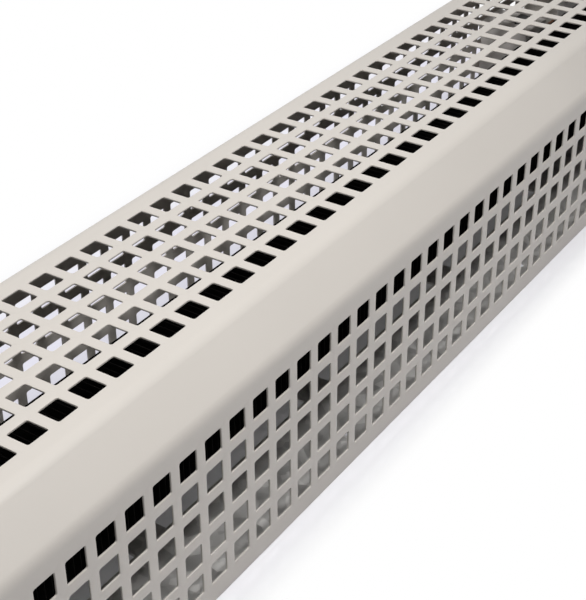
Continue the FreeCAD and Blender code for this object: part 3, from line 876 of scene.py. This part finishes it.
def make_screws(settings, ends):
    """All screws as one piece: two on each upright's foot flange, and the earth screw."""
    mesh = bmesh.new()
    brackets = (settings.bracket_sheet, settings.bracket_spread)
    panels = (ends.sheet, settings.end_spread)
    uprights = {"element_bracket_left": brackets, "element_bracket_right": brackets,
                "end_panel_left": panels, "end_panel_right": panels}
    for node, (sheet, spread) in uprights.items():
        low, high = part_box(node)
        inwards = 1 if low.x < 0 else -1
        middle = (low.x + high.x) / 2 + inwards * sheet / 2
        for side in SIDES:
            cross_screw(mesh, (middle, side * spread, ends.tray_sheet + sheet), settings.head)
    low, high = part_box("earth_tag")
    earth_place = (low.x + settings.earth_inset, low.y + settings.earth_inset, high.z)
    cross_screw(mesh, earth_place, settings.earth_head)
    recalculate(mesh)
    return finish_piece("cross_screws", mesh, "base", "plated_steel")


class HEATER_OT_fasteners(bpy.types.Operator):
    """Set the screws of the brackets, the ends and the earth connection"""

    bl_idname = "heater.fasteners"
    bl_label = "Fasteners"

    def execute(self, context):
        make_screws(context.scene.heater_screws, context.scene.heater_ends)
        return {"FINISHED"}


# Stage

def fade(tree, value, span, least=0.0):
    """A value that rises softly from its least to one over a span."""
    node = tree.nodes.new("ShaderNodeMapRange")
    node.interpolation_type = "SMOOTHSTEP"
    node.inputs["From Min"].default_value = span[0]
    node.inputs["From Max"].default_value = span[1]
    node.inputs["To Min"].default_value = least
    tree.links.new(value, node.inputs["Value"])
    return node.outputs["Result"]


def most(tree, first, *others):
    """The highest of several values."""
    for other in others:
        first = joined(tree, "MAXIMUM", first, other)
    return first


def seen_rays(tree):
    """One where a ray comes from the camera, a gloss or a clear surface."""
    path = tree.nodes.new("ShaderNodeLightPath")
    names = ("Is Camera Ray", "Is Glossy Ray", "Is Transmission Ray")
    return most(tree, *(path.outputs[name] for name in names))


def make_world(settings):
    """White all round for the camera, and a plain fill for the object."""
    world = bpy.data.worlds.new("studio")
    bpy.context.scene.world = world
    world.use_nodes = True
    tree = world.node_tree
    background = tree.nodes["Background"]
    background.inputs["Color"].default_value = (1, 1, 1, 1)
    level = tree.nodes.new("ShaderNodeMapRange")
    level.inputs["To Min"].default_value = settings.fill
    level.inputs["To Max"].default_value = 1
    tree.links.new(seen_rays(tree), level.inputs["Value"])
    tree.links.new(level.outputs["Result"], background.inputs["Strength"])


def floor_white(settings):
    """Matt white with the heater's shadow on it, which fades to an even white in the open; close behind
    the heater it has a painted shadow tint, and under it a faint painted glow.
    """
    material = bpy.data.materials.new("floor_white")
    material.use_nodes = True
    tree = material.node_tree
    tree.nodes.remove(tree.nodes["Principled BSDF"])
    seen = seen_rays(tree)
    matt = tree.nodes.new("ShaderNodeBsdfDiffuse")
    bounced = shade(settings.floor, settings.bounce)
    colour_between(tree, seen, matt.inputs["Color"], bounced, settings.floor)

    # Where the floor is open; elsewhere a small share of the backdrop's glow stays, painted light that
    # lifts the shade under the heater
    split = tree.nodes.new("ShaderNodeSeparateXYZ")
    tree.links.new(tree.nodes.new("ShaderNodeTexCoord").outputs["Object"], split.inputs["Vector"])
    along, depth = split.outputs["X"], split.outputs["Y"]
    right_end = fade(tree, along, settings.end_fade)
    left_end = fade(tree, along, [-limit for limit in settings.end_fade])
    front = fade(tree, depth, settings.front_fade)
    # Behind the heater the glow fades up from the under share, so the floor under the heater keeps a faint
    # painted light
    back = fade(tree, depth, settings.back_fade, settings.under)
    backdrop_and_glow = most(tree, right_end, left_end, front, back)

    # Where it is an even white, and where it keeps a lavender tint, a painted shadow of the heater close
    # behind it
    below = fade(tree, depth, settings.painted_shadow_start)
    beyond = fade(tree, depth, settings.painted_shadow_end)
    white = most(tree, right_end, left_end, below, beyond)
    backdrop = tree.nodes.new("ShaderNodeEmission")
    colour_between(tree, white, backdrop.inputs["Color"], settings.lee, (1, 1, 1))

    mix = tree.nodes.new("ShaderNodeMixShader")
    tree.links.new(joined(tree, "MULTIPLY", backdrop_and_glow, seen), mix.inputs["Fac"])
    tree.links.new(matt.outputs["BSDF"], mix.inputs[1])
    tree.links.new(backdrop.outputs["Emission"], mix.inputs[2])
    tree.links.new(mix.outputs["Shader"], tree.nodes["Material Output"].inputs["Surface"])
    return material


def make_floor(settings):
    """A pale matt floor just below the tray."""
    mesh = bmesh.new()
    bmesh.ops.create_grid(mesh, x_segments=1, y_segments=1, size=settings.floor_reach)
    bmesh.ops.translate(mesh, verts=mesh.verts, vec=(0, 0, -settings.floor_gap))
    data = bpy.data.meshes.new("studio_floor")
    mesh.to_mesh(data)
    mesh.free()
    data.materials.append(floor_white(settings))
    floor = bpy.data.objects.new("studio_floor", data)
    bpy.context.scene.collection.objects.link(floor)


def make_lamp(name, place, target, size, power):
    """A round soft lamp that shines from a place at a target."""
    lamp = bpy.data.lights.new(name, "AREA")
    lamp.shape = "DISK"
    lamp.size = size
    lamp.energy = power
    item = bpy.data.objects.new(name, lamp)
    item.location = place
    item.rotation_euler = (Vector(target) - Vector(place)).to_track_quat("-Z", "Y").to_euler()
    bpy.context.scene.collection.objects.link(item)


def make_lamps(settings):
    """The key lamp in front, the soft one overhead and a weak one off each end."""
    make_lamp("key_lamp", place=(-0.17, -0.35, 0.9), target=(-0.12, 0, 0), size=0.13, power=settings.key)
    make_lamp("overhead_lamp", place=(-0.17, 0.2, 0.9), target=(-0.12, 0, 0), size=0.25,
              power=settings.overhead)
    make_lamp("left_lamp", place=(-0.9, 0, 0.12), target=(0, 0, 0.05), size=0.2, power=settings.side)
    make_lamp("right_lamp", place=(0.9, 0, 0.12), target=(0, 0, 0.05), size=0.2, power=settings.side)


def make_camera(settings):
    """The camera at the photograph's viewing angle."""
    lens = bpy.data.cameras.new("photo_camera")
    lens.lens = settings.lens
    lens.sensor_width = 36
    lens.clip_start = 0.01
    camera = bpy.data.objects.new("photo_camera", lens)
    camera.location = settings.camera_place
    camera.rotation_euler = settings.camera_turn
    bpy.context.scene.collection.objects.link(camera)
    bpy.context.scene.camera = camera


class HEATER_OT_stage(bpy.types.Operator):
    """Set the camera, the lamps and the floor"""

    bl_idname = "heater.stage"
    bl_label = "Stage"

    def execute(self, context):
        settings = context.scene.heater_stage
        context.scene.view_settings.view_transform = "Standard"
        make_world(settings)
        make_floor(settings)
        make_lamps(settings)
        make_camera(settings)
        return {"FINISHED"}


# Panel and registration

SETTINGS = {
    "heater_cover": CoverSettings,
    "heater_ends": EndSettings,
    "heater_element": ElementSettings,
    "heater_screws": ScrewSettings,
    "heater_finishes": FinishSettings,
    "heater_stage": StageSettings,
}
OPERATORS = (
    HEATER_OT_cover, HEATER_OT_tray, HEATER_OT_end_panels, HEATER_OT_element, HEATER_OT_terminal_box,
    HEATER_OT_wiring, HEATER_OT_fasteners, HEATER_OT_stage,
)


class HEATER_PT_sidebar(bpy.types.Panel):
    """Lists the heater's pieces and their settings"""

    bl_label = "Heater"
    bl_idname = "HEATER_PT_sidebar"
    bl_space_type = "VIEW_3D"
    bl_region_type = "UI"
    bl_category = "Heater"

    def draw(self, context):
        for operator in OPERATORS:
            self.layout.operator(operator.bl_idname)
        for name in SETTINGS:
            box = self.layout.box()
            settings = getattr(context.scene, name)
            for field in settings.bl_rna.properties.keys():
                if field not in ("rna_type", "name"):
                    box.prop(settings, field)


CLASSES = (*SETTINGS.values(), *OPERATORS, HEATER_PT_sidebar)


def register():
    for item in CLASSES:
        bpy.utils.register_class(item)
    for name, settings in SETTINGS.items():
        setattr(bpy.types.Scene, name, PointerProperty(type=settings))


def unregister():
    for name in SETTINGS:
        delattr(bpy.types.Scene, name)
    for item in reversed(CLASSES):
        bpy.utils.unregister_class(item)


def main():
    register()
    bpy.ops.heater.cover()
    bpy.ops.heater.tray()
    bpy.ops.heater.end_panels()
    bpy.ops.heater.element()
    bpy.ops.heater.terminal_box()
    bpy.ops.heater.wiring()
    bpy.ops.heater.fasteners()
    bpy.ops.heater.stage()


if __name__ == "__main__":
    main()
